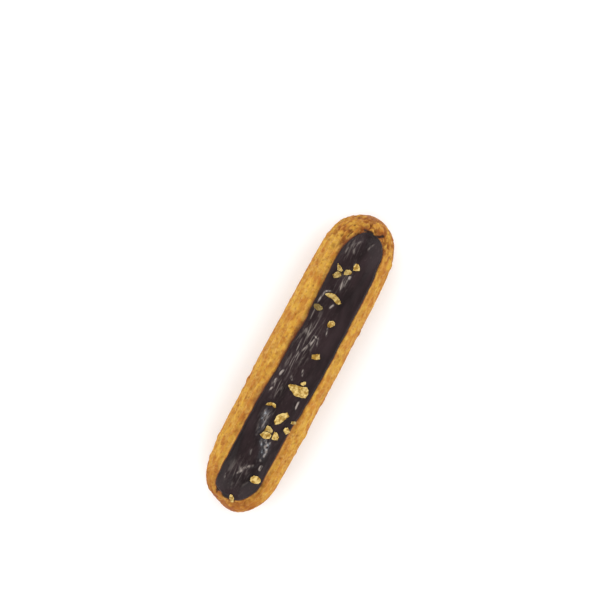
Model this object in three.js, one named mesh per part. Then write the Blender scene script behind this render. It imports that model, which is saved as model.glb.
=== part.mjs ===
// A chocolate eclair: one baked bar of choux pastry with a flat underside, a strip of set
// chocolate glaze poured along its crown, and crumpled flakes of gold leaf pressed onto the glaze.
// Millimetres, +Z up. +X runs along the bar, +Y across it, and the origin is the middle of the
// flat underside.
import * as THREE from "three";

// The choux bar. Its plan is a superellipse, and so is the arch of its crown.
const CHOUX_LENGTH = 140;
const CHOUX_WIDTH = 34;
const CHOUX_HEIGHT = 26.5;
const BELLY_HEIGHT = 10.5; // level of the widest line round the bar, and of its two tips
const UNDERSIDE_DEPTH = 13.5; // drop from the belly line that the tray cuts short at z = 0
const END_SQUARENESS = 7.5; // exponent along the bar: 2 would be an ellipse, more is blunter
const CROWN_SQUARENESS = 2.25; // exponent across the bar
const CHOUX_RINGS = 48;
const CHOUX_SIDES = 40;

// The glaze. It lies a little off the middle, and drifts towards -Y along the bar.
const GLAZE_START = -65;
const GLAZE_END = 62.5;
const GLAZE_WIDTH = 18.1;
const GLAZE_END_SQUARENESS = 12;
const GLAZE_THICKNESS = 1.4;
const GLAZE_EDGE_ROUNDNESS = 0.6; // below 1 the glaze keeps its thickness out to a round edge
const GLAZE_END_FULLNESS = 2; // above 1 it keeps its thickness out towards its two ends
const DRIFT = 1.25; // the strip's middle goes from 0 to -2 * DRIFT
const DRIFT_MIDDLE = -10;
const DRIFT_LENGTH = 15;
const GLAZE_RINGS = 44;
const GLAZE_SIDES = 24;

// Gold leaf. A flake is as thick as the crumpled piece, not as the leaf that it came from.
const FLAKE_THICKNESS = 0.35;

const CLEARANCE = 0.3; // free gap between pieces that rest on each other
const SLOPE_STEP = 0.1; // distance over which a surface's slope is measured

const CHOUX_COLOUR = 0xcb9448;
const GLAZE_COLOUR = 0x2d2322;
const GOLD_COLOUR = 0xd9b566;

// Every flake, from -X to +X: where it lies on the plan, and the corners of its torn outline,
// counterclockwise and measured from there.
const FLAKES = [
  {
    at: [-64.3, -1.1],
    corners: [
      [-2.0, -0.3], [-1.6, -1.1], [-0.7, -1.4], [0.8, -0.6], [1.9, 0.4], [1.8, 1.4],
      [0.5, 1.4], [-0.8, 0.7],
    ],
  },
  {
    at: [-52.9, -6.1],
    corners: [
      [-1.7, 0.9], [-1.5, -0.7], [-0.7, -2.2], [0.5, -2.5], [1.3, -2.2], [1.9, -0.5],
      [1.5, 1.4], [0.2, 2.2], [-1.0, 1.9],
    ],
  },
  {
    at: [-33.9, -1.6],
    corners: [
      [-1.7, 0.9], [-1.5, -0.5], [-0.8, -1.8], [0.9, -2.1], [1.6, -1.2], [1.4, 0.2],
      [1.0, 1.6], [-0.9, 2.6],
    ],
  },
  {
    at: [-31.0, -1.5],
    corners: [[-1.6, 1.5], [-1.2, -0.1], [-1.0, -1.8], [0.1, -1.8], [1.2, 0.2], [1.0, 1.5]],
  },
  {
    at: [-32.6, -5.5],
    corners: [
      [-1.8, 1.2], [-1.6, 0.1], [-1.0, -1.2], [0.2, -1.4], [1.8, 0.4], [1.6, 1.6],
      [-0.7, 1.5],
    ],
  },
  {
    at: [-25.0, -4.0],
    corners: [
      [-3.1, 1.2], [-2.3, 0], [-0.6, -1.1], [1.4, -1.8], [2.7, -2.5], [3.7, -1.1],
      [2.3, 1.1], [0.3, 2.4], [-2.2, 2.2],
    ],
  },
  {
    at: [-21.1, 2.2],
    corners: [
      [-0.5, 0.1], [-0.6, -0.9], [-1.0, -1.8], [-0.3, -2.0], [0.5, -1.5], [0.9, -0.4],
      [0.4, 1.0], [-0.5, 2.2], [-1.5, 2.3], [-1.2, 1.3],
    ],
  },
  {
    at: [-28.2, -8.4],
    corners: [
      [-1.6, -0.3], [-1.0, -1.1], [0, -1.6], [0.9, -0.5], [1.4, 0.4], [0.6, 1.6],
      [-0.5, 1.6], [-1.1, 0.8],
    ],
  },
  {
    at: [-24.0, -9.3],
    corners: [[-0.7, -0.2], [0, -1.3], [1.0, -0.8], [0.6, 0.3], [0.2, 1.3], [-0.9, 1.0]],
  },
  {
    at: [-10.8, -4.9],
    corners: [
      [-2.7, 0.8], [-2.6, -0.5], [-2.2, -2.5], [-1.5, -4.2], [0.4, -4.4], [2.0, -3.8],
      [3.0, -2.5], [2.2, -0.8], [1.8, 0.8], [1.5, 2.7], [0.8, 4.6], [0, 5.0], [-1.2, 3.5],
      [-1.9, 1.9],
    ],
  },
  {
    at: [-7.2, -5.2],
    corners: [[-1.0, 0.7], [-0.9, -0.4], [0.1, -1.2], [1.2, -0.8], [0.9, -0.1], [-0.5, 1.1]],
  },
  {
    at: [5.4, -4.8],
    corners: [[-1.7, 1.4], [-1.2, -0.8], [-0.2, -2.0], [1.7, -0.8], [0.6, 0.9], [-0.1, 2.0]],
  },
  {
    at: [20.5, -4.2],
    corners: [
      [-1.7, 0.8], [-1.6, -0.1], [-0.9, -0.8], [0.2, -1.5], [1.3, -1.0], [1.7, 0.1],
      [0.8, 1.5], [-0.9, 1.5],
    ],
  },
  {
    at: [31.0, 0],
    corners: [
      [-0.7, 1.1], [-1.0, -0.5], [-1.8, -1.9], [-1.8, -3.0], [-0.8, -4.0], [0.3, -2.7],
      [1.0, -1.4], [1.6, 0.5], [1.0, 2.5], [0.3, 3.8], [-0.5, 4.1], [-0.8, 2.7],
    ],
  },
  {
    at: [24.3, 4.1],
    corners: [
      [-1.3, -0.4], [-0.7, -1.6], [0.1, -2.2], [1.0, -1.8], [1.4, 0.4], [0.6, 2.1],
      [-0.4, 1.9], [-1.0, 1.1],
    ],
  },
  {
    at: [40.4, 3.1],
    corners: [
      [-2.0, 0.7], [-0.8, -0.9], [0.2, -1.6], [1.3, -1.1], [1.4, 0.6], [0.4, 1.3],
      [-1.0, 1.9],
    ],
  },
  {
    at: [43.2, 3.5],
    corners: [[-1.2, 0.6], [-1.1, -1.2], [-0.3, -1.5], [1.0, 0.1], [1.5, 1.8], [0.2, 1.3]],
  },
  {
    at: [43.0, -0.3],
    corners: [
      [-1.6, 1.1], [-0.9, -0.1], [0.1, -1.4], [1.2, -1.5], [1.6, -0.1], [0.9, 1.2],
      [-0.4, 1.5],
    ],
  },
  {
    at: [46.7, -2.6],
    corners: [
      [-1.8, 0.8], [-1.5, -0.2], [-0.5, -1.8], [0.8, -1.0], [1.7, 0.1], [1.5, 1.1],
      [-0.2, 1.5],
    ],
  },
];

const signedPower = (value, exponent) => Math.sign(value) * Math.abs(value) ** exponent;

// Share of the full width or height left at a place along a strip, where -1 and 1 are its ends.
const taper = (place, squareness) => Math.sqrt(Math.max(0, 1 - Math.abs(place) ** squareness));

// A closed skin from a sphere's grid: place(along, turn) says where each vertex goes, with along
// from -1 to 1 between the sphere's poles, and turn the angle round it, up at 90 degrees.
function closedSkin(rings, sides, place) {
  const geometry = new THREE.SphereGeometry(1, sides, rings);
  const position = geometry.getAttribute("position");
  for (let i = 0; i < position.count; i += 1) {
    const turn = Math.atan2(position.getX(i), position.getZ(i));
    const point = place(position.getY(i), turn);
    position.setXYZ(i, point.x, point.y, point.z);
  }
  geometry.computeVertexNormals();
  return geometry;
}

// Height of the choux crown at a place on its plan; at the bar's outline and past it, the belly's.
function crownHeight(x, y) {
  const end = taper(x / (CHOUX_LENGTH / 2), END_SQUARENESS);
  if (end === 0) return BELLY_HEIGHT;
  const across = Math.min(1, Math.abs(y) / ((CHOUX_WIDTH / 2) * end));
  const arch = (1 - across ** CROWN_SQUARENESS) ** (1 / CROWN_SQUARENESS);
  return BELLY_HEIGHT + (CHOUX_HEIGHT - BELLY_HEIGHT) * end * arch;
}

// The bar: an arched crown above the belly line, and below it an ellipse cut flat by the tray.
function chouxShell() {
  const crown = CHOUX_HEIGHT - BELLY_HEIGHT;
  const power = 2 / CROWN_SQUARENESS;
  const place = (along, turn) => {
    const end = taper(along, END_SQUARENESS);
    const up = Math.sin(turn);
    const upper = up > 0;
    const out = upper ? signedPower(Math.cos(turn), power) : Math.cos(turn);
    const rise = upper ? crown * up ** power : UNDERSIDE_DEPTH * up;
    const height = Math.max(0, BELLY_HEIGHT + rise * end);
    return new THREE.Vector3((CHOUX_LENGTH / 2) * along, (CHOUX_WIDTH / 2) * out * end, height);
  };
  return closedSkin(CHOUX_RINGS, CHOUX_SIDES, place);
}

const glazeMiddle = (x) => -DRIFT - DRIFT * Math.tanh((x - DRIFT_MIDDLE) / DRIFT_LENGTH);

const glazeHalfWidth = (place) => (GLAZE_WIDTH / 2) * taper(place, GLAZE_END_SQUARENESS);

// The glaze: a thin strip that follows the crown, thickest along its middle.
function chocolateGlaze() {
  const place = (along, turn) => {
    const x = (GLAZE_START + GLAZE_END + (GLAZE_END - GLAZE_START) * along) / 2;
    const y = glazeMiddle(x) + glazeHalfWidth(along) * Math.cos(turn);
    const body = Math.max(0, Math.sin(turn)) ** GLAZE_EDGE_ROUNDNESS;
    const fullness = Math.min(1, GLAZE_END_FULLNESS * taper(along, 2));
    const thickness = GLAZE_THICKNESS * body * fullness;
    return new THREE.Vector3(x, y, crownHeight(x, y) + CLEARANCE + thickness);
  };
  return closedSkin(GLAZE_RINGS, GLAZE_SIDES, place);
}

// Height of the eclair's top with the glaze on, at a place on its plan.
const glazedHeight = (x, y) => crownHeight(x, y) + CLEARANCE + GLAZE_THICKNESS;

// Outward direction of the glazed top at a place on its plan.
function glazedNormal(x, y) {
  const fall = (dx, dy) => glazedHeight(x - dx, y - dy) - glazedHeight(x + dx, y + dy);
  return new THREE.Vector3(fall(SLOPE_STEP, 0), fall(0, SLOPE_STEP), 2 * SLOPE_STEP).normalize();
}

// A flake lies flat on the glaze, square to the glaze's own outward direction.
function goldFlake({ at, corners }, number) {
  const outline = new THREE.Shape(corners.map(([x, y]) => new THREE.Vector2(x, y)));
  const geometry = new THREE.ExtrudeGeometry(outline, {
    depth: FLAKE_THICKNESS,
    bevelEnabled: false,
  });
  const mesh = named(`gold_flake_${String(number).padStart(2, "0")}`, geometry, goldLeaf);
  const up = new THREE.Vector3(0, 0, 1);
  const normal = glazedNormal(...at);
  mesh.quaternion.setFromUnitVectors(up, normal);
  mesh.position.set(...at, glazedHeight(...at)).addScaledVector(normal, CLEARANCE);
  return mesh;
}

function named(name, geometry, material) {
  const mesh = new THREE.Mesh(geometry, material);
  mesh.name = name;
  return mesh;
}

const bakedChoux = new THREE.MeshStandardMaterial({
  color: CHOUX_COLOUR,
  roughness: 0.75,
  metalness: 0,
});

const setChocolate = new THREE.MeshStandardMaterial({
  color: GLAZE_COLOUR,
  roughness: 0.25,
  metalness: 0,
});

const goldLeaf = new THREE.MeshStandardMaterial({
  color: GOLD_COLOUR,
  roughness: 0.35,
  metalness: 1,
});

const eclair = new THREE.Group();
eclair.add(named("choux_shell", chouxShell(), bakedChoux));
eclair.add(named("chocolate_glaze", chocolateGlaze(), setChocolate));
FLAKES.forEach((flake, index) => eclair.add(goldFlake(flake, index + 1)));

export default eclair;
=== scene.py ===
"""A chocolate eclair: a baked choux bar, a strip of set glaze, and crumpled flakes of gold leaf.
Metres, +Z up, +X along the bar, +Y across it, origin in the middle of the flat underside."""
import math
import bpy
import numpy as np
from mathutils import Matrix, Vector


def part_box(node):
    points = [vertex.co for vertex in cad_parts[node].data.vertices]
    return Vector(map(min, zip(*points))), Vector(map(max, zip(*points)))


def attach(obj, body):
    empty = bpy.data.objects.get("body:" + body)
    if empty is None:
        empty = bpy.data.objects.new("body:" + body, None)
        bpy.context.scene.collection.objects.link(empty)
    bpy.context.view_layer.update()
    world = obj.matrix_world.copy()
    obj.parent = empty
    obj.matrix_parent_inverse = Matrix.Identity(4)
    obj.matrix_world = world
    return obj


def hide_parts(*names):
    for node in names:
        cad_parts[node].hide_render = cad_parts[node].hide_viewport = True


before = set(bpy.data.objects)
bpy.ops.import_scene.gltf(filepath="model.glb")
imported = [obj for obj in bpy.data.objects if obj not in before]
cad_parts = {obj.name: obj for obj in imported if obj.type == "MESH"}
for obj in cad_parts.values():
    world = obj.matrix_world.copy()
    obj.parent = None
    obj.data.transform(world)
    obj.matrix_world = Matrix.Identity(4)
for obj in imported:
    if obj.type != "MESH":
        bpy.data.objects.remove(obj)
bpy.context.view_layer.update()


# ---- The choux bar ----------------------------------------------------------------------------
# Choux paste is piped through a star nozzle in one pull, which leaves flutes along it, and baked
# on a tray: it puffs into an arched bar with a flat underside. Escaping steam leaves pits in the
# crust, and blisters and cracks where the oven is hottest, at the ends.
MM = 0.001
HALF_LENGTH, HALF_WIDTH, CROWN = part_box("choux_shell")[1]
BELLY = 10.5 * MM  # level of the widest line round the bar, and of its two tips
SHOULDER = 15 * MM  # level above which a place is wholly on the upper side
UNDERSIDE_DEPTH = 13.5 * MM  # drop from the belly line, cut short by the tray
END_SQUARENESS = 7.5
CROWN_SQUARENESS = 2.25
BASE_ROUNDING = 0.8 * MM
CHOUX_RINGS = 378
CHOUX_SIDES = 256
FLUTES = 26
FLUTE_DEPTH = 0.85 * MM
SLIT_DEPTH = 0.18 * MM  # of the torn line along the bottom of a groove
BAKED_IN = 0.35 * MM  # how far the crust's middle level lies inside the outline
CRACK_DEPTH = 0.25 * MM
FURROW_DEPTH = 0.45 * MM


def ease(value, start, stop):
    """0 before start, 1 after stop, and a smooth S between them."""
    share = np.clip((value - start) / (stop - start), 0, 1)
    return share * share * (3 - 2 * share)


def random_of(cells, seed):
    """A number from 0 to 1 for each whole-number cell: its coordinates are multiplied by large odd
    numbers and added up, and the bits of the sum are stirred twice."""
    stirred = (cells * np.array([73856093, 19349663, 83492791])).sum(-1) + seed * 2654435761
    for shift in (15, 13):
        stirred = stirred & 0xFFFFFFFF
        stirred = (stirred ^ (stirred >> shift)) * 0x2C1B3C6D
    stirred = stirred & 0xFFFFFFFF
    return (stirred ^ (stirred >> 16)) / 0xFFFFFFFF


def noise(points, size, seed):
    """Smooth hills and hollows from about -1 to 1, one or so in each cell of the given size. Every
    corner of a cell has a random slope, and the slopes are blended by a quintic fade."""
    place = points / np.array(size)
    cell = np.floor(place).astype(np.int64)
    inside = place - cell
    fade = inside**3 * (inside * (inside * 6 - 15) + 10)
    hills = np.zeros(points.shape[:-1])
    for corner in np.ndindex(2, 2, 2):
        share = np.where(corner, fade, 1 - fade).prod(-1)
        slopes = [2 * random_of(cell + corner, seed + 100 * axis) - 1 for axis in (1, 2, 3)]
        hills += share * ((inside - corner) * np.stack(slopes, -1)).sum(-1)
    return 1.6 * hills


def layered(points, size, seed, layers=3):
    """Noise on noise: each layer has half the size and half the height of the one before it."""
    sizes = [np.array(size) / 2**layer for layer in range(layers)]
    return sum(noise(points, small, seed + layer) / 2**layer for layer, small in enumerate(sizes))


def taper(place, squareness):
    """Share of the full width left at a place from -1 to 1 along a strip: the square root of what
    a power of the place leaves of 1."""
    return np.sqrt(np.maximum(0, 1 - np.abs(place) ** squareness))


def choux_surface(along, turn):
    """The smooth bar. Its section is a superellipse above the belly line and an ellipse below it,
    shrunk by the taper towards both tips, and a soft maximum flattens it on the tray."""
    end = taper(along, END_SQUARENESS)
    out, up = np.cos(turn), np.sin(turn)
    power = np.where(up > 0, 2 / CROWN_SQUARENESS, 1)
    wide = np.sign(out) * np.abs(out) ** power
    reach = np.where(up > 0, CROWN - BELLY, UNDERSIDE_DEPTH)
    height = BELLY + reach * np.sign(up) * np.abs(up) ** power * end
    deepest = BELLY - UNDERSIDE_DEPTH
    flat = (deepest + np.hypot(deepest, BASE_ROUNDING)) / 2
    height = np.maximum(0, (height + np.hypot(height, BASE_ROUNDING)) / 2 - flat)
    return np.stack([HALF_LENGTH * along, HALF_WIDTH * wide * end, height], -1)


def crown_height(x, y):
    """Height of the smooth crown at a place on its plan: the superellipse of the bar's section,
    solved for its height. Outside the plan it is the belly line's height."""
    end = np.maximum(1e-6, taper(x / HALF_LENGTH, END_SQUARENESS))
    across = np.minimum(1, np.abs(y) / (HALF_WIDTH * end))
    arch = (1 - across**CROWN_SQUARENESS) ** (1 / CROWN_SQUARENESS)
    return BELLY + (CROWN - BELLY) * end * arch


def even_places(curve, start, stop, count):
    """Places evenly far apart along a curve: its length is added up in small steps and shared out."""
    places = np.linspace(start, stop, 6001)
    steps = np.linalg.norm(np.diff(curve(places), axis=0), axis=1)
    run = np.concatenate([[0], np.cumsum(steps)])
    return np.interp(np.linspace(0, run[-1], count), run, places)


def outward(grid):
    """Outward directions on a closed grid of rings: the step round a ring crossed with the step
    from ring to ring."""
    round_it = np.roll(grid, -1, axis=1) - np.roll(grid, 1, axis=1)
    normal = np.cross(round_it, np.gradient(grid, axis=0))
    return normal / np.linalg.norm(normal, axis=-1, keepdims=True)


def keep_mark(mesh, name, values):
    """Keeps a number for each vertex of a skin, with the mean of the nearest ring at each tip."""
    values = np.concatenate([values.ravel(), [values[0].mean(), values[-1].mean()]])
    attribute = mesh.attributes.new(name, "FLOAT", "POINT")
    attribute.data.foreach_set("value", values.astype(np.float32))


def make_skin(name, grid, tips, marks, material, node):
    """A closed skin: rings of vertices joined by quads, and a fan of triangles to a vertex at each
    tip. Marks are numbers kept for each vertex, which the material reads."""
    rings, sides = grid.shape[:2]
    ring = np.arange(rings * sides).reshape(rings, sides)
    beside = np.roll(ring, -1, axis=1)
    quads = np.stack([ring[:-1], beside[:-1], beside[1:], ring[1:]], -1).reshape(-1, 4)
    first, last = np.full(sides, rings * sides), np.full(sides, rings * sides + 1)
    fans = np.concatenate(
        [np.stack([first, beside[0], ring[0]], -1), np.stack([last, ring[-1], beside[-1]], -1)]
    )
    mesh = bpy.data.meshes.new(name)
    vertices = np.concatenate([grid.reshape(-1, 3), tips])
    mesh.from_pydata(vertices.tolist(), [], quads.tolist() + fans.tolist())
    for mark, values in marks.items():
        keep_mark(mesh, mark, values)
    mesh.shade_smooth()
    mesh.materials.append(material)
    piece = bpy.data.objects.new(name, mesh)
    bpy.context.scene.collection.objects.link(piece)
    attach(piece, "root")
    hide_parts(node)
    return piece


class Shade:
    """A value in a material's node tree. Arithmetic on it adds Math nodes, and node() any other."""

    def __init__(self, tree, socket=None):
        self.tree = tree
        self.socket = socket

    def node(self, kind, settings, inputs, output=0):
        """Adds a node, makes its settings, then fills its sockets, which go by identifier, with
        numbers, colours or links."""
        made = self.tree.nodes.new(kind)
        for name, setting in settings.items():
            setattr(made, name, setting)
        sockets = {socket.identifier: socket for socket in made.inputs}
        for name, value in inputs.items():
            if isinstance(value, Shade):
                self.tree.links.new(value.socket, sockets[name])
            else:
                sockets[name].default_value = value
        return Shade(self.tree, made.outputs[output])

    def math(self, operation, first, second):
        """Two values added or multiplied, by a Math node of the given kind."""
        return self.node(
            "ShaderNodeMath", {"operation": operation}, {"Value": first, "Value_001": second}
        )

    def __add__(self, other):
        return self.math("ADD", self, other)

    __radd__ = __add__

    def __mul__(self, other):
        return self.math("MULTIPLY", self, other)

    __rmul__ = __mul__

    def between(self, start, stop):
        """0 before start, 1 after stop, and a smooth S between them."""
        inputs = {"Value": self, "From Min": start, "From Max": stop}
        return self.node("ShaderNodeMapRange", {"interpolation_type": "SMOOTHSTEP"}, inputs)

    def blend(self, low, high):
        """The low colour where this value is 0 and the high one where it is 1."""
        inputs = {"Factor_Float": self, "A_Color": low, "B_Color": high}
        return self.node("ShaderNodeMix", {"data_type": "RGBA"}, inputs, "Result")

    def mark(self, name):
        """A number kept for each vertex of the mesh."""
        return self.node("ShaderNodeAttribute", {"attribute_name": name}, {}, "Fac")

    def object_place(self, stretch=(1, 1, 1)):
        """The place on the piece, with each axis multiplied by its stretch."""
        place = self.node("ShaderNodeTexCoord", {}, {}, "Object")
        return self.node("ShaderNodeMapping", {}, {"Vector": place, "Scale": stretch})

    def mottle(self, place, size, detail):
        """Soft noise whose blotches are about the given size, with that many finer layers on it."""
        inputs = {"Vector": place, "Scale": 1 / size, "Detail": detail}
        return self.node("ShaderNodeTexNoise", {}, inputs, "Fac")

    def bump(self, height, distance, under=None):
        """A relief of the given height, on top of another relief if there is one."""
        inputs = {"Height": height, "Distance": distance, "Strength": 1.0}
        if under is not None:
            inputs["Normal"] = under
        return self.node("ShaderNodeBump", {}, inputs)


def colour(red, green, blue):
    """The linear colour of an everyday one, whose parts go from 0 to 255: each part is a power of
    2.4, and a straight line near black."""
    parts = [part / 255 for part in (red, green, blue)]
    linear = [((part + 0.055) / 1.055) ** 2.4 if part > 0.04 else part / 12.92 for part in parts]
    return (*linear, 1.0)


def new_material(name):
    """An empty material, as the value that its nodes start from."""
    material = bpy.data.materials.new(name)
    material.use_nodes = True
    material.node_tree.nodes.clear()
    return material, Shade(material.node_tree)


def set_finish(start, inputs):
    """Ends a material in one shader with these sockets."""
    shader = start.node("ShaderNodeBsdfPrincipled", {}, inputs)
    output = start.tree.nodes.new("ShaderNodeOutputMaterial")
    start.tree.links.new(shader.socket, output.inputs["Surface"])


# Rings evenly far apart along the outline, and points evenly far apart round the middle section.
ring_swings = even_places(
    lambda swing: choux_surface(np.sin(swing), np.zeros_like(swing)),
    -math.pi / 2,
    math.pi / 2,
    CHOUX_RINGS + 2,
)[1:-1]
side_turns = even_places(
    lambda turn: choux_surface(np.zeros_like(turn), turn),
    -math.pi / 2,
    3 * math.pi / 2,
    CHOUX_SIDES + 1,
)[:-1]
along, turn = np.meshgrid(np.sin(ring_swings), side_turns, indexing="ij")
bar = choux_surface(along, turn)
ring_x = bar[:, 0, 0]
top_side = ease(bar[..., 2], 1 * MM, 5 * MM)  # 0 on the flat underside, 1 on flanks and crown
shake = np.stack([noise(bar, 1.1 * MM, seed) for seed in (5, 6, 7)], -1)
warped = bar + 0.16 * MM * shake  # the same places, shaken, so that no mark is quite round
dice = np.random.default_rng(11)


def spots(centres, radii, shape):
    """The highest of many rounded marks at each vertex of the bar, in metres, each a third longer
    along the bar than across it. A mark's height is its radius times a shape of its closeness,
    which is 1 at its centre and falls as the square of the distance to 0 at its ragged rim."""
    marks = np.zeros(bar.shape[:2])
    for centre, radius in zip(centres, radii):
        window = slice(*np.searchsorted(ring_x, centre[0] + radius * np.array([-1.4, 1.4])))
        away = (warped[window] - centre) / radius * [0.75, 1, 1]
        closeness = np.maximum(0, 1 - (away**2).sum(-1))
        marks[window] = np.maximum(marks[window], radius * shape(closeness))
    return marks


def places_on_bar(count, start, stop, low_turn, high_turn):
    """Random places on the smooth bar, between two values of x and two turns in degrees."""
    swing = np.interp(dice.uniform(start, stop, count), ring_x, ring_swings)
    turn = np.radians(dice.uniform(low_turn, high_turn, count))
    return choux_surface(np.sin(swing), turn)


# Flutes: each groove deepens and fades along the bar on its own, wanders a little, and runs out
# before the tip. Its section is a wave, 0 in the groove and 1 on the ridge beside it, and a thin
# torn slit lies along its bottom.
run_out = ease(1 - np.abs(along), 0.015, 0.12)
flute = FLUTES * np.linspace(0, 1, CHOUX_SIDES, endpoint=False) + 0.4 * noise(bar, 26 * MM, 1)
# Every groove reads the noise along a line of its own.
groove_line = np.stack([bar[..., 0] / (20 * MM), 9.7 * np.round(flute), 0 * flute], -1)
groove_life = ease(noise(groove_line, 1, 2), -0.7, 0.4) * top_side * run_out
wave = 0.5 - 0.5 * np.cos(2 * math.pi * flute)
slit = (1 - np.abs(np.sin(math.pi * flute))) ** 5 * groove_life
flutes = FLUTE_DEPTH * (0.35 * run_out + 0.65 * groove_life) * (wave - 1) * top_side
flutes = flutes - SLIT_DEPTH * slit

# Blisters: a crowd of bubbles on top of the +X end, fewer on the other, some on the flanks.
bubble_places = np.concatenate(
    [
        places_on_bar(280, 50 * MM, 68.5 * MM, 15, 165),
        places_on_bar(80, -68.5 * MM, -59 * MM, 15, 165),
        places_on_bar(100, -66 * MM, 66 * MM, -20, 200),
    ]
)
bubble_radii = dice.uniform(0.7, 1.5, len(bubble_places)) * MM
bubbles = spots(bubble_places, bubble_radii, lambda closeness: 0.3 * closeness**0.7)

# Pits where steam broke through. Most are pinholes, longer along the bar than across it.
pit_places = np.concatenate(
    [
        places_on_bar(300, -68 * MM, 69 * MM, -35, 215),
        places_on_bar(90, 48 * MM, 69 * MM, 0, 180),
        places_on_bar(260, -62 * MM, 62 * MM, 235, 305),
    ]
)
pit_radii = dice.uniform(0.25, 0.6, len(pit_places)) ** 1.5 * 1.3 * MM
pits = spots(pit_places, pit_radii, lambda closeness: 0.7 * closeness)

# Dents of the crust, by x, y and radius in mm: most beside the glaze's +X end, some by its -X end,
# and a few along the +Y side.
DENTS = [
    (52.6, 8.9, 1.3),
    (54.4, 8.1, 1.2),
    (56.4, 9.7, 0.8),
    (59.4, 7.1, 1.1),
    (60.4, 8.7, 0.7),
    (62.9, 6.9, 0.9),
    (61.4, 5.6, 0.7),
    (64.6, 1.6, 1.2),
    (66.2, 0.2, 1.0),
    (64.6, -2.6, 0.8),
    (50.6, 11.2, 1.1),
    (50.9, 9.4, 0.9),
    (-54.0, -10.4, 0.8),
    (-62.8, 7.4, 1.1),
    (-64.6, 6.4, 0.7),
    (-66.4, 5.8, 0.6),
    (-19.6, 13.9, 0.7),
    (10.6, 12.4, 0.7),
    (1.0, 12.9, 0.5),
]
dent_xy = np.array([dent[:2] for dent in DENTS]) * MM
dent_places = np.column_stack([dent_xy, crown_height(dent_xy[:, 0], dent_xy[:, 1])])
dent_radii = np.array([dent[2] for dent in DENTS]) * MM
dents = spots(dent_places, dent_radii, lambda closeness: 0.55 * closeness)

# Cracks: thin lines where a stretched noise crosses zero, only where a second noise lets them.
end_share = ease(np.abs(bar[..., 0]), 48 * MM, 66 * MM)
crack_leave = ease(noise(bar, 10 * MM, 22) + 0.6 * end_share, 0.3, 0.7) * top_side
crack_noise = noise(warped, (5 * MM, 3.5 * MM, 3.5 * MM), 21)
cracks = np.maximum(0, 1 - np.abs(crack_noise) / 0.05) * crack_leave

# Furrows torn beside the glaze's ends: from x, y to x, y, and half width, in mm.
FURROWS = [
    (62.9, 1.2, 63.0, -1.4, 0.7),
    (62.2, -3.4, 64.4, -7.0, 0.6),
    (-66.4, 5.9, -62.4, 7.2, 0.4),
    (-65.0, 2.9, -63.6, 1.4, 0.8),
    (56.8, 7.2, 59.6, 6.2, 0.4),
]


def seams(lines):
    """Closeness to the nearest of some lines on the bar's plan, which go from x, y to x, y and have
    a half width: 1 on a line and 0 from its half width on. It fades out down to the belly line."""
    closest = np.zeros(bar.shape[:2])
    for start_x, start_y, stop_x, stop_y, half_width in lines:
        run = np.array([stop_x - start_x, stop_y - start_y]) * MM
        from_start = warped[..., :2] - np.array([start_x, start_y]) * MM
        share = np.clip((from_start @ run) / (run @ run), 0, 1)
        away = np.linalg.norm(from_start - share[..., None] * run, axis=-1)
        closest = np.maximum(closest, 1 - away / (half_width * MM))
    return closest * ease(bar[..., 2], BELLY, SHOULDER)


furrows = seams(FURROWS)

# The crust's relief, in mm for the lumps and the grain: slow swells, fine grain, and all the above.
lumps = 0.30 * noise(bar, (22 * MM, 12 * MM, 12 * MM), 31)
lumps += 0.14 * noise(bar, (9 * MM, 5 * MM, 5 * MM), 32)
grain = 0.12 * layered(bar, (2.4 * MM, 1.7 * MM, 1.7 * MM), 33, 2)
relief = (
    (lumps * (0.25 + 0.75 * top_side) + grain * (0.3 + 0.7 * top_side)) * MM
    - BAKED_IN * top_side
    + flutes
    - CRACK_DEPTH * cracks
    - FURROW_DEPTH * furrows
    + bubbles
    - pits
    - dents
)
bar = bar + relief[..., None] * outward(bar)
bar[..., 2] = np.maximum(0, bar[..., 2])

# A hand-piped bar isn't quite even: round each x, y, in a bell as wide as the next two numbers, it
# is pushed along the bar and across it by the last two. All are in mm.
PUSHES = [
    (-69, 6, 6, 6, 1.1, 0),
    (-69, -7, 6, 5, -0.3, 0),
    (-58, -15, 7, 6, 0, -0.5),
    (-32, -17, 12, 8, 0, 0.15),
    (10, -17, 17, 8, 0, -0.25),
    (30, 17, 22, 8, 0, -0.75),
    (69, 9, 6, 6, -0.95, 0),
    (67, -10, 5, 5, -0.1, 0),
]
pushed = np.zeros(bar.shape[:2] + (2,))
for push_x, push_y, reach_x, reach_y, along_it, across_it in PUSHES:
    away_x = (bar[..., 0] / MM - push_x) / reach_x
    away_y = (bar[..., 1] / MM - push_y) / reach_y
    bell = np.exp(-(away_x**2 + away_y**2))
    pushed += bell[..., None] * np.array([along_it, across_it]) * MM
bar[..., :2] += pushed
tips = np.array([bar[0].mean(0), bar[-1].mean(0)])

# How brown the crust is baked: more at the two ends, on the tray and along the ridges between the
# flutes, and in soft patches everywhere. The same mark darkens the crust low down on the flanks,
# partly as browning and partly as painted shade, and lightens the tops of crowded bubbles as a
# painted highlight.
end_heat = ease(bar[..., 0], 48 * MM, 67 * MM) + 1.3 * ease(-bar[..., 0], 53 * MM, 68 * MM)
patchy = layered(bar, (12 * MM, 7 * MM, 7 * MM), 41)
# Darker low down on the flanks: partly browning, partly painted shade.
low_flank_shade = 1 - ease(bar[..., 2], 8 * MM, 17 * MM)
on_tray = 1 - ease(bar[..., 2], 0.2 * MM, 2.4 * MM)
ridges = (wave - 0.5) * top_side * run_out
crowd = ease(bar[..., 0], 50 * MM, 57 * MM) + 0.6 * ease(-bar[..., 0], 60 * MM, 66 * MM)
# Painted highlight: the tops of crowded bubbles are lighter.
bubble_top_highlight = crowd * ease(bubbles, 0.14 * MM, 0.34 * MM)
browning_and_shade = 0.56 * end_heat + 0.32 * patchy + 0.34 * low_flank_shade + 0.3 * on_tray + 0.12 * ridges - 0.03
browning_and_shade = np.clip(browning_and_shade - 0.28 * bubble_top_highlight, 0, 1)
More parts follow.
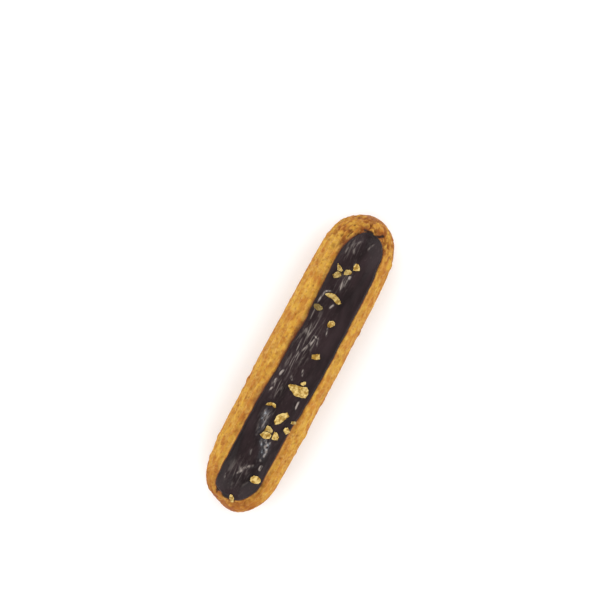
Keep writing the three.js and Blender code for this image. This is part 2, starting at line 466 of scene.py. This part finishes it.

# Painted shade darkens the slits, the cracks and the creases between crowded bubbles, and the
# insides of pits, dents and furrows. The paste stays pale in the shelter of a flute.
between_bubbles = crowd * (1 - ease(bubbles, 0.02 * MM, 0.28 * MM))
between_bubbles = between_bubbles * ease(bar[..., 2], BELLY, 17 * MM)
# Painted shade in the slits, the cracks and between crowded bubbles.
crease_shade = np.clip(0.12 * slit + 0.5 * cracks + 0.68 * between_bubbles, 0, 1)
# Painted shade inside pits, dents and furrows.
recess_shade = np.clip(0.5 * pits / (0.4 * MM) + 0.55 * dents / (0.6 * MM) + 1.1 * furrows, 0, 1)
sheltered = (1 - wave) * groove_life

# Painted shadow in the gaps at the glaze's two ends, as near-black lines on the crust: from x, y to
# x, y, and half width, with an edge that a fine noise makes ragged.
GAP_SHADOWS = [
    (62.5, 1.6, 62.8, -1.6, 1.5),
    (61.6, -2.8, 64.3, -6.9, 1.0),
    (-64.6, 5.9, -62.4, 6.9, 1.7),
    (-65.3, 2.5, -64.8, 0.5, 1.5),
]
gap_shadow = ease(seams(GAP_SHADOWS) + 0.35 * noise(bar, 1.2 * MM, 24), 0.1, 0.7)

# The crust's colour, layer on layer: golden, paler in the shelter of the flutes, blotched, freckled
# and specked all over, then browned and stained, with painted shade low on the flanks, beside the
# glaze, in creases and in recesses, painted highlights on bubble tops, and painted shadow at the
# glaze's ends.
choux_material, start = new_material("baked_choux")
fine_place = start.object_place()
drawn_place = start.object_place((0.75, 1, 1))  # blotches longer than wide, as the paste is drawn
golden = start.mottle(drawn_place, 3.2 * MM, 2.0).between(0.32, 0.68)
golden = golden.blend(colour(167, 107, 24), colour(200, 153, 52))
yellow = (start.mark("sheltered") * 0.5).blend(golden, colour(193, 152, 72))
orange = start.mottle(drawn_place, 4.2 * MM, 2.0).between(0.42, 0.70) * 0.55
orange = orange.blend(yellow, colour(170, 98, 34))
freckled = start.mottle(fine_place, 1.4 * MM, 2.0).between(0.52, 0.70) * 0.5
freckled = freckled.blend(orange, colour(140, 80, 28))
pale = start.mottle(fine_place, 1.8 * MM, 2.0).between(0.50, 0.72) * 0.5
pale = pale.blend(freckled, colour(201, 158, 84))
specks = start.mottle(fine_place, 0.8 * MM, 2.0).between(0.63, 0.74) * 0.5
specks = specks.blend(pale, colour(114, 58, 22))
# Browning, with painted shade low on the flanks and painted highlights on the bubble tops.
browned_and_shaded = start.mark("browning_and_shade").blend(specks, colour(142, 74, 8))
# Stain and painted shade beside the glaze, and a painted shadow at its edge.
stained_and_shaded = start.mark("stained_and_shaded").blend(browned_and_shaded, colour(90, 44, 30))
# Painted shade in the slits, the cracks and the creases between bubbles.
crease_shaded = start.mark("crease_shade").blend(stained_and_shaded, colour(116, 56, 6))
# Painted shade inside pits, dents and furrows.
recess_shaded_crust = start.mark("recess_shade").blend(crease_shaded, colour(90, 40, 6))
# Painted shadow: near-black lines in the gaps at the glaze's two ends.
crust = start.mark("gap_shadow").blend(recess_shaded_crust, colour(38, 18, 12))
pores = start.mottle(fine_place, 0.4 * MM, 3.0)
blisters = start.mottle(fine_place, 1.0 * MM, 2.0)
skin_bump = start.bump(pores, 0.16 * MM, start.bump(blisters, 0.30 * MM))
set_finish(
    start,
    {
        "Base Color": crust,
        "Roughness": 0.48 + 0.28 * pores,
        "Specular IOR Level": 0.2,
        "Normal": skin_bump,
    },
)
choux_marks = {
    "browning_and_shade": browning_and_shade,
    "crease_shade": crease_shade,
    "recess_shade": recess_shade,
    "sheltered": sheltered,
    "gap_shadow": gap_shadow,
}
choux_bar = make_skin("choux_bar", bar, tips, choux_marks, choux_material, "choux_shell")


# ---- The glaze --------------------------------------------------------------------------------
# Chocolate icing, poured along the crown while warm and drawn out with a knife, then set. The
# knife leaves drag marks and a dull torn skin in places, and elsewhere it levels itself smooth.
GLAZE_START, GLAZE_END = [corner.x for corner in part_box("chocolate_glaze")]
GLAZE_MIDDLE = (GLAZE_START + GLAZE_END) / 2
GLAZE_HALF_LENGTH = GLAZE_END - GLAZE_MIDDLE
GLAZE_THICKNESS = 1.4 * MM
SUNK = 1.5 * MM  # how deep the glaze's underside lies below the smooth crown
RIM_SUNK = 0.35 * MM  # how far its rim dips into the crust
LIP_SQUARENESS = 34  # how sharply the lip turns down at the long edges
END_LIP_SQUARENESS = 90  # and at the two ends
FAR_EDGE, FAR_SWING = 8.8 * MM, 1.0 * MM  # y of the +Y edge, and half its swing towards -Y
NEAR_EDGE, NEAR_SWING = -9.25 * MM, 1.15 * MM  # the same for the -Y edge
GLAZE_RINGS = 596
GLAZE_TOP_POINTS = 134
GLAZE_UNDERSIDE_POINTS = 26

# Drag marks of the knife: x, y, half length, half width, height in mm, and heading in degrees.
DRAG_MARKS = [
    (-56.8, 6.0, 1.6, 0.6, 0.26, 10),
    (-59.6, 1.6, 2.2, 0.9, 0.14, 20),
    (-56.4, -3.0, 2.6, 1.0, 0.13, -25),
    (-52.9, 1.4, 1.5, 0.6, 0.30, -35),
    (-51.2, 1.9, 1.4, 0.5, 0.28, 40),
    (-50.2, 0.2, 2.2, 0.8, 0.22, -40),
    (-48.4, -1.8, 2.0, 0.9, 0.18, -50),
    (-47.4, -5.7, 1.4, 0.7, 0.42, 0),
    (-44.6, -4.3, 0.7, 0.7, 0.22, 60),
    (-43.2, 1.0, 1.6, 0.5, 0.22, 10),
    (-41.9, -4.8, 1.0, 0.5, 0.40, 0),
    (-39.9, -4.6, 0.9, 0.6, 0.50, 15),
    (-38.8, -3.4, 0.9, 0.5, 0.40, 30),
    (-37.5, -3.8, 0.7, 0.5, 0.36, -20),
    (-37.6, -1.2, 1.1, 0.5, 0.32, 20),
    (-36.6, -2.6, 1.0, 0.6, 0.50, 50),
    (-36.2, -4.4, 0.7, 0.5, 0.34, 0),
    (-34.8, 2.3, 1.2, 0.5, 0.28, 0),
    (-30.6, 1.7, 2.0, 0.7, 0.30, 12),
    (-27.4, 2.7, 1.8, 0.7, 0.42, 15),
    (-25.6, 3.7, 1.6, 0.5, 0.26, 10),
    (-26.2, 1.0, 2.4, 0.5, 0.26, -20),
    (-16.7, -7.2, 1.9, 0.5, 0.5, 5),
    (-15.6, 5.9, 1.3, 0.5, 0.42, -10),
    (-11.5, 6.0, 1.2, 0.5, 0.42, 0),
    (-7.2, 5.2, 1.5, 0.6, 0.45, -12),
    (-7.4, 0.2, 1.3, 0.5, 0.32, 30),
    (-3.4, -2.9, 1.6, 0.4, 0.38, 20),
    (3.4, 2.6, 3.0, 0.4, 0.30, -8),
    (6.4, 3.9, 3.6, 0.35, 0.28, 3),
    (7.6, 0.7, 3.2, 0.45, 0.38, -20),
    (10.6, -0.6, 2.6, 0.4, 0.42, -5),
    (12.6, -0.9, 1.2, 0.35, 0.40, 70),
    (11.2, -2.5, 2.2, 0.35, 0.30, 15),
    (14.0, 3.0, 3.2, 0.4, 0.30, 8),
    (16.7, -4.0, 2.0, 0.35, 0.36, 18),
    (20.8, 4.9, 3.0, 0.4, 0.22, 4),
    (27.4, -0.8, 1.4, 0.5, 0.40, -25),
    (29.2, 5.0, 3.0, 0.45, 0.42, -8),
    (32.4, 3.6, 1.6, 0.4, 0.35, -60),
    (36.9, -0.4, 2.4, 0.5, 0.36, 12),
    (41.6, -1.8, 0.8, 0.6, 0.50, 0),
    (39.0, -1.6, 2.2, 0.4, 0.26, 5),
    (51.6, 4.6, 2.2, 0.7, 0.22, 0),
    (53.4, 2.2, 2.6, 0.8, 0.24, 18),
    (56.6, 1.4, 1.8, 0.7, 0.20, -30),
    (47.8, -1.0, 2.0, 0.5, 0.22, 15),
    (57.2, -3.8, 2.2, 0.6, 0.20, -20),
]
# Patches of torn skin: x, y, half length and half width in mm, and how strong each is.
TORN = [
    (9.0, 2.0, 12.0, 3.8, 1.0),
    (-10.0, 4.0, 9.0, 2.8, 0.7),
    (-27.5, 2.2, 6.0, 2.4, 0.8),
    (-53.0, 2.0, 6.0, 4.0, 0.55),
    (38.0, 0.0, 6.0, 2.6, 0.7),
    (54.0, 2.8, 5.5, 3.0, 0.5),
]
# Patches where the icing set in beads, given in the same way.
BEADED = [
    (-40, -4, 4.5, 1.8, 0.9),
    (-36.5, -2, 3, 2, 1.0),
    (-30, 1.8, 5, 1.6, 0.6),
    (-26, 3, 3, 1.6, 0.8),
]
# Patches that levelled themselves smooth before the icing set.
CALM = [
    (30, -8, 20, 3.6, 1.0),
    (-34, 6.6, 14, 2.0, 1.0),
    (22, 2, 3, 3, 0.7),
    (4, -8, 10, 3, 0.8),
]


def patch(x, y, patches):
    """How strongly the patches cover a place, up to 1. Each adds its strength times e to the minus
    cube of the distance from its middle, counted in its half length and half width."""
    cover = 0
    for middle_x, middle_y, long, wide, strength in patches:
        reach = ((x / MM - middle_x) / long) ** 2 + ((y / MM - middle_y) / wide) ** 2
        cover = cover + strength * np.exp(-(reach**1.5))
    return np.minimum(1, cover)


# Where an edge of the glaze swells or draws back: x, how far that reaches along, and how far in y.
FAR_SWELLS = [
    (-64.1, 0.9, -1.8),
    (-18, 10, -0.3),
    (4, 5, 0.3),
    (17, 6, -0.6),
    (48, 8, 0.5),
    (60, 3, -0.5),
]
NEAR_SWELLS = [
    (-56, 4, -0.9),
    (-42, 8, -0.2),
    (-20, 3, -0.4),
    (50, 5, 0.45),
    (62, 2, -0.6),
]


def swell(x, swells):
    """The sum of the swells at each x: for each, e to the minus square of the distance from its
    place, counted in its reach, times how far it goes in y."""
    return MM * sum(by * np.exp(-(((x / MM - place) / reach) ** 2)) for place, reach, by in swells)


def glaze_edges(x):
    """Where the glaze's two edges lie across the bar, -Y first. Each is a level line swung over
    towards -Y by a hyperbolic tangent, plus its swells and a fine noise. A taper of its own at each
    end draws it in to a middle line, which drifts towards -Y along the bar."""
    drift = -0.3 * MM - 1.6 * MM * ease(x, GLAZE_START, GLAZE_END)
    place = np.clip((x - GLAZE_MIDDLE) / GLAZE_HALF_LENGTH, -1, 1)
    far = FAR_EDGE - FAR_SWING * (1 + np.tanh((x + 10 * MM) / (9 * MM))) + swell(x, FAR_SWELLS)
    near = NEAR_EDGE - NEAR_SWING * (1 + np.tanh((x + 18 * MM) / (12 * MM))) + swell(x, NEAR_SWELLS)
    line = np.stack([x, 0 * x, 0 * x], -1)
    far = far + 0.22 * MM * layered(line, 5 * MM, 51)
    near = near + 0.20 * MM * layered(line, 6 * MM, 52)
    far_taper = np.where(place < 0, taper(place, 32), taper(place, 10.5))
    near_taper = np.where(place < 0, taper(place, 11), taper(place, 11.5))
    return drift + (near - drift) * near_taper, drift + (far - drift) * far_taper


def drag_relief(x, y):
    """Height of the drag marks. Each is a bent ridge whose section is a bell, less a bell half as
    high beside it for a furrow, and fades out along its heading as e to a minus fourth power."""
    height = np.zeros_like(x)
    for middle_x, middle_y, long, wide, tall, heading in DRAG_MARKS:
        turn = math.radians(heading)
        east, north = x / MM - middle_x, y / MM - middle_y
        run = (east * math.cos(turn) + north * math.sin(turn)) / long
        side = (north * math.cos(turn) - east * math.sin(turn)) / wide + 0.35 * run * run
        ridge = np.exp(-side * side) - 0.5 * np.exp(-((side - 1.5) ** 2))
        height += tall * MM * ridge * np.exp(-(run**4))
    return height


def torn_streaks(x, y):
    """Ridges of torn skin from about -1 to 1, long and thin along the bar: two parts of a stretched
    noise folded at zero, so that it peaks there, and one of finer threads, on a swaying plan."""
    plan = np.stack([x, y, 0 * x], -1)
    sway = noise(plan, (9 * MM, 6 * MM, 1), 61) + 0.35 * noise(plan, (3 * MM, 2 * MM, 1), 65)
    bent = plan + 0.45 * MM * np.stack([0 * x, sway, 0 * x], -1)
    folds = 1 - 4 * np.abs(noise(bent, (13 * MM, 1.7 * MM, 1), 63))
    threads = noise(bent, (6 * MM, 0.8 * MM, 1), 66)
    return 0.65 * folds + 0.35 * threads


def bead_relief(x, y):
    """Height of the beads: layered noise, twice as long along the bar as across it, times how
    strongly the beaded patches cover the place."""
    plan = np.stack([x, y, 0 * x], -1)
    return 0.30 * MM * layered(plan, (1.9 * MM, 1.0 * MM, 1), 64, 2) * patch(x, y, BEADED)


def glaze_relief(x, y):
    """Height of the glaze's surface detail: slow waves all over, streaks in the torn patches, beads
    in the beaded ones, and the drag marks."""
    plan = np.stack([x, y, 0 * x], -1)
    waves = 0.08 * MM * noise(plan, (12 * MM, 5 * MM, 1), 62)
    streaks = 0.16 * MM * torn_streaks(x, y) * (0.08 + patch(x, y, TORN))
    return waves + streaks + bead_relief(x, y) + drag_relief(x, y)


def glaze_top(x, y):
    """Height of the glaze's top: the crown's, plus the thickness and relief times the lip, less the
    rim's dip times what the lip leaves of 1. The lip is 1 inside and rounds down to 0 at the edge."""
    near, far = glaze_edges(x)
    inside = (x > GLAZE_START) & (x < GLAZE_END) & (far > near)
    across = np.where(inside, (2 * y - near - far) / np.maximum(1e-6, far - near), 1)
    place = (2 * x - GLAZE_START - GLAZE_END) / (GLAZE_END - GLAZE_START)
    lip = taper(across, LIP_SQUARENESS) * taper(place, END_LIP_SQUARENESS)
    body = GLAZE_THICKNESS + glaze_relief(x, y)
    return crown_height(x, y) + lip * body - RIM_SUNK * (1 - lip)


# Rings evenly far apart along an outline much like the strip's. On each, the points of the top
# crowd towards the two lips, where it turns down.
ring_places = even_places(
    lambda swing: np.stack(
        [GLAZE_END * np.sin(swing), 9 * MM * taper(np.sin(swing), 10.5), 0 * swing], -1
    ),
    -math.pi / 2,
    math.pi / 2,
    GLAZE_RINGS + 2,
)[1:-1]
top_across = np.sin(np.linspace(1, -1, GLAZE_TOP_POINTS) * 1.3) / math.sin(1.3)
under_across = np.linspace(-1, 1, GLAZE_UNDERSIDE_POINTS + 2)[1:-1]
glaze_x = GLAZE_MIDDLE + GLAZE_HALF_LENGTH * np.sin(ring_places)
x, across = np.meshgrid(glaze_x, np.concatenate([top_across, under_across]), indexing="ij")
near, far = glaze_edges(x)
y = (near + far) / 2 + across * (far - near) / 2
on_top = np.arange(x.shape[1]) < GLAZE_TOP_POINTS
under = crown_height(x, y) - SUNK
z = np.where(on_top, glaze_top(x, y), under)
strip = np.stack([x, y, z], -1)
strip_tips = np.array([strip[0].mean(0), strip[-1].mean(0)])

# The thin rim is rougher, and painted shade darkens it. The knife tears the skin a little wherever
# the icing isn't calm, and the tops of the torn streaks, the drag marks and the beads carry pale
# painted highlights.
end_rim = ease(np.abs(x - GLAZE_MIDDLE), 62.4 * MM, 63.4 * MM)
rim = np.maximum(ease(np.abs(across), 0.93, 0.99), end_rim)
worked = 0.35 * (1 - patch(x, y, CALM))
torn_mark = np.clip(worked + patch(x, y, TORN) + patch(x, y, BEADED), 0, 1)
streak_mark = ease(torn_streaks(x, y), 0.15, 0.85) * patch(x, y, TORN) * 0.7
streak_mark = np.maximum(streak_mark, ease(drag_relief(x, y), 0.04 * MM, 0.42 * MM))
bead_mark = 0.12 * patch(x, y, BEADED) + 0.75 * ease(bead_relief(x, y), 0.03 * MM, 0.22 * MM)

# The chocolate's colour, layer on layer: dark clouds, smoky and scraped where the skin is torn,
# pale painted highlights on the streaks and the beads, and painted shade on the rim.
glaze_material, start = new_material("set_chocolate")
place = start.object_place((0.35, 1, 1))
scrape = start.mottle(place, 0.7 * MM, 4.0)
flecks = start.mottle(start.object_place((0.6, 1, 1)), 0.9 * MM, 4.0)
dashes = start.mottle(start.object_place((0.25, 1, 1)), 0.9 * MM, 4.0)
smoke = start.mottle(place, 2.4 * MM, 4.0).between(0.45, 0.72)
cloud = start.mottle(place, 5 * MM, 3.0).between(0.25, 0.75)
dark = cloud.blend(colour(21, 12, 13), colour(43, 30, 32))
smoky = (start.mark("torn") * smoke * 0.45).blend(dark, colour(50, 39, 42))
scraped = (start.mark("torn") * scrape.between(0.52, 0.72) * 0.36).blend(smoky, colour(84, 76, 72))
# Painted highlight on the tops of the torn streaks and the drag marks.
streak_highlight = start.mark("streak") * dashes.between(0.34, 0.58)
streak_highlighted = streak_highlight.blend(scraped, colour(146, 135, 128))
# Painted highlight, bluish white, on the beads.
bead_highlight = start.mark("beads") * flecks.between(0.32, 0.56)
bead_highlighted = bead_highlight.blend(streak_highlighted, colour(150, 154, 160))
# Painted shade darkens the rim.
chocolate = (start.mark("rim") * 0.7).blend(bead_highlighted, colour(12, 7, 8))
dull = 0.17 + 0.06 * cloud + 0.25 * start.mark("torn") * scrape
set_finish(
    start,
    {
        "Base Color": chocolate,
        "Roughness": dull + 0.5 * start.mark("rim"),
        "Specular IOR Level": 0.14,
        "Normal": start.bump(scrape * start.mark("torn"), 0.14 * MM),
    },
)
glaze_marks = {"torn": torn_mark, "streak": streak_mark, "beads": bead_mark, "rim": rim}
make_skin("glaze_strip", strip, strip_tips, glaze_marks, glaze_material, "chocolate_glaze")

# The warm icing also stains the crust in a ragged band beside its edge, wider in some places; the
# band also holds painted shade beside the glaze. A thin painted shadow lies right at the edge.
STAINS = [
    (-20, 10, 6, 3, 1.0),
    (10, 8, 14, 3, 1.0),
    (56, 6, 8, 5, 0.8),
    (-63, 4, 4, 6, 0.6),
]
near, far = glaze_edges(bar[..., 0])
beside = np.maximum(near - bar[..., 1], bar[..., 1] - far)
beside = np.maximum(beside, np.abs(bar[..., 0] - GLAZE_MIDDLE) - GLAZE_HALF_LENGTH)
ragged = (0.6 + 0.5 * layered(bar, (5 * MM, 2 * MM, 2 * MM), 55)) * MM
ragged = np.maximum(0.3 * MM, ragged + 2.0 * MM * patch(bar[..., 0], bar[..., 1], STAINS))
upper_side = ease(bar[..., 2], BELLY, SHOULDER)
# Stain and painted shade in a ragged band beside the glaze.
stain_and_shade = (1 - ease(beside, 0, ragged)) * upper_side
# Painted shadow: a thin dark line right at the glaze's edge.
edge_shadow = 0.35 * (1 - ease(beside, 0.1 * MM, 0.5 * MM)) * upper_side
keep_mark(choux_bar.data, "stained_and_shaded", 0.8 * stain_and_shade + edge_shadow)


# ---- The gold leaf ----------------------------------------------------------------------------
# Edible leaf, torn off the sheet with a brush and dropped on the glaze before it sets. A sheet is
# far thinner than paper, so each piece crumples into facets with sharp creases and ragged edges.
LEAF_THICKNESS = 0.05 * MM
LEAF_RINGS = 56
LEAF_POINTS = 30  # from edge to edge, on either face
LEAF_FOLDS = 7
LEAF_CREASES = 5
CURL = 0.3 * MM  # how far one edge lifts off the glaze
LEAF_GAP = 0.04 * MM  # between the glaze and the lowest fold
# The flakes whose colour is darker, and how much darker each is, up to 1.
DARKER_FLAKES = {4: 0.2, 9: 0.3, 14: 0.2, 15: 0.7, 16: 0.3, 17: 0.2, 18: 0.25}

# Bare metal, brighter in soft patches, finely crinkled, and darker on some flakes.
gold_material, start = new_material("gold_leaf")
fine_place = start.object_place()
sheen = start.mottle(fine_place, 1.6 * MM, 3.0)
crinkle = start.mottle(fine_place, 0.5 * MM, 4.0)
gold = sheen.between(0.36, 0.60).blend(colour(150, 116, 50), colour(208, 182, 116))
gold = start.mark("darkened").blend(gold, colour(80, 70, 46))
set_finish(
    start,
    {
        "Base Color": gold,
        "Metallic": 1.0,
        "Roughness": 0.34 + 0.25 * crinkle,
        "Normal": start.bump(crinkle, 0.2 * MM),
    },
)


def crumple(long, wide, random):
    """Height of a crumpled sheet: straight zigzags in random directions, added up, so that flat
    facets meet at sharp creases. A soft noise bends the creases a little. There are a few wide
    folds and a few fine creases, and each is as high as a random share of its width."""
    plan = np.stack([long, wide, 0 * long], -1)
    bend = 0.3 * MM * noise(plan, 1.5 * MM, int(random.integers(1000)))
    height = np.zeros_like(long)
    widths = [*random.uniform(0.6, 1.5, LEAF_FOLDS), *random.uniform(0.25, 0.5, LEAF_CREASES)]
    for width in widths:
        heading = random.uniform(0, 2 * math.pi)
        run = (long * math.cos(heading) + wide * math.sin(heading) + bend) / (width * MM)
        zigzag = np.abs((run + random.uniform(0, 2)) % 2 - 1)
        height += random.uniform(0.1, 0.26) * width * MM * zigzag
    return height


def gold_flake(node):
    """One piece of leaf in the place of its plain flake. The plain solid is cut into slices across
    its length, which is the direction in which its corners spread most. The leaf reaches as far as
    the solid at every slice, give or take a noise that tears its edge, and crumples on the glaze."""
    corners = np.array([vertex.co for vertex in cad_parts[node].data.vertices])
    edges = np.array([edge.vertices[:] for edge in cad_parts[node].data.edges])
    centre = corners.mean(0)
    spread = np.linalg.svd(corners - centre, full_matrices=False)[2]
    flat = (corners - centre) @ spread[:2].T
    number = int(node[-2:])
    random = np.random.default_rng(300 + number)
    start, stop = flat[edges[:, 0]], flat[edges[:, 1]]
    margin = 1e-3 * np.ptp(flat[:, 0])
    swing = np.linspace(-math.pi / 2, math.pi / 2, LEAF_RINGS)
    along_leaf = 0.5 + 0.5 * np.sin(swing)
    slices = flat[:, 0].min() + margin + along_leaf * (np.ptp(flat[:, 0]) - 2 * margin)
    run = stop[:, 0] - start[:, 0]
    level = np.abs(run) < 1e-7
    share = (slices[:, None] - start[:, 0]) / np.where(level, 1, run)
    crossing = start[:, 1] + share * (stop[:, 1] - start[:, 1])
    crossed = (share >= 0) & (share <= 1) & ~level
    low = np.where(crossed, crossing, np.inf).min(1)
    high = np.where(crossed, crossing, -np.inf).max(1)
    line = np.stack([slices, 0 * slices + number * MM, 0 * slices], -1)
    low = low + 0.16 * MM * layered(line, 0.8 * MM, 71)
    high = high + 0.16 * MM * layered(line, 0.8 * MM, 74)
    across = np.linspace(0, 1, LEAF_POINTS)
    wide = low[:, None] + (high - low)[:, None] * across
    rag = 0.14 * MM * noise(np.stack([0 * wide, wide, 0 * wide + number * MM], -1), 0.6 * MM, 77)
    tip_share = np.sign(swing) * ease(np.abs(np.sin(swing)), 0.6, 1)
    long = slices[:, None] + rag * tip_share[:, None]
    x = centre[0] + long * spread[0][0] + wide * spread[1][0]
    y = centre[1] + long * spread[0][1] + wide * spread[1][1]
    folds = crumple(long, wide, random)
    heading = random.uniform(0, 2 * math.pi)
    reach = np.ptp(flat[:, 0]) / 2
    lift = CURL * ease((long * math.cos(heading) + wide * math.sin(heading)) / reach, 0.1, 1)
    top = np.stack([x, y, glaze_top(x, y) + folds - folds.min() + lift + LEAF_GAP], -1)
    under = top - [0, 0, LEAF_THICKNESS]
    # Where its points run the wrong way round, it is turned, so that its faces point outwards.
    if np.cross(spread[0][:2], spread[1][:2]) > 0:
        top, under = top[:, ::-1], under[:, ::-1]
    leaf = np.concatenate([top, under[:, ::-1]], axis=1)
    ends = np.array([leaf[0].mean(0), leaf[-1].mean(0)])
    marks = {"darkened": np.full(leaf.shape[:2], DARKER_FLAKES.get(number, 0))}
    make_skin(f"leaf_{number:02d}", leaf, ends, marks, gold_material, node)


for node in sorted(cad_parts):
    if node.startswith("gold_flake"):
        gold_flake(node)


# ---- The studio -------------------------------------------------------------------------------
# A plain pale floor under even white light, with four soft boxes round the eclair that draw the
# wrinkles, and a camera that looks straight down on it with the bar turned in its frame.
CAMERA_HEIGHT = 4.265
CAMERA_LENS = 600  # mm
CAMERA_SENSOR = 36  # mm wide
FRAME_MIDDLE = (23.5 * MM, 12.3 * MM)  # x, y that the camera looks straight down on
CAMERA_TURN = math.radians(-62.35)
FLOOR_SIZE = 6.0
WORLD_STRENGTH = 0.75
BOX_DISTANCE = 1.0
BOX_SIZE = 1.0
BOX_POWER = 4.5
BOX_ELEVATION = math.radians(32)

floor_mesh = bpy.data.meshes.new("floor")
half = FLOOR_SIZE / 2
floor_corners = [(-half, -half, 0), (half, -half, 0), (half, half, 0), (-half, half, 0)]
floor_mesh.from_pydata(floor_corners, [], [(0, 1, 2, 3)])
floor = bpy.data.objects.new("floor", floor_mesh)
bpy.context.scene.collection.objects.link(floor)
floor_material, start = new_material("pale_floor")
shade = start.mottle(start.object_place(), 0.25, 2.0)
floor_colour = shade.blend((0.94, 0.94, 0.935, 1), (0.96, 0.96, 0.955, 1))
set_finish(start, {"Base Color": floor_colour, "Roughness": 0.6, "Specular IOR Level": 0.2})
floor_mesh.materials.append(floor_material)

world = bpy.data.worlds.new("studio")
world.use_nodes = True
world.node_tree.nodes["Background"].inputs["Color"].default_value = (1.0, 1.0, 1.0, 1.0)
world.node_tree.nodes["Background"].inputs["Strength"].default_value = WORLD_STRENGTH
bpy.context.scene.world = world


def soft_box(name, azimuth):
    """A square soft light that faces the eclair, at an azimuth in degrees from +X towards +Y."""
    light = bpy.data.lights.new(name, "AREA")
    light.shape = "SQUARE"
    light.size = BOX_SIZE
    light.energy = BOX_POWER
    lamp = bpy.data.objects.new(name, light)
    level = BOX_DISTANCE * math.cos(BOX_ELEVATION)
    turn = math.radians(azimuth)
    height = BOX_DISTANCE * math.sin(BOX_ELEVATION)
    lamp.location = (level * math.cos(turn), level * math.sin(turn), height)
    lamp.rotation_euler = lamp.location.to_track_quat("Z", "Y").to_euler()
    bpy.context.scene.collection.objects.link(lamp)


soft_box("box_far_right", 45)
soft_box("box_far_left", 135)
soft_box("box_near_left", 225)
soft_box("box_near_right", 315)

camera_data = bpy.data.cameras.new("camera")
camera_data.lens = CAMERA_LENS
camera_data.sensor_width = CAMERA_SENSOR
camera = bpy.data.objects.new("camera", camera_data)
camera.location = (*FRAME_MIDDLE, CAMERA_HEIGHT)
camera.rotation_euler = (0, 0, CAMERA_TURN)
bpy.context.scene.collection.objects.link(camera)
bpy.context.scene.camera = camera
bpy.context.scene.view_settings.view_transform = "Standard"
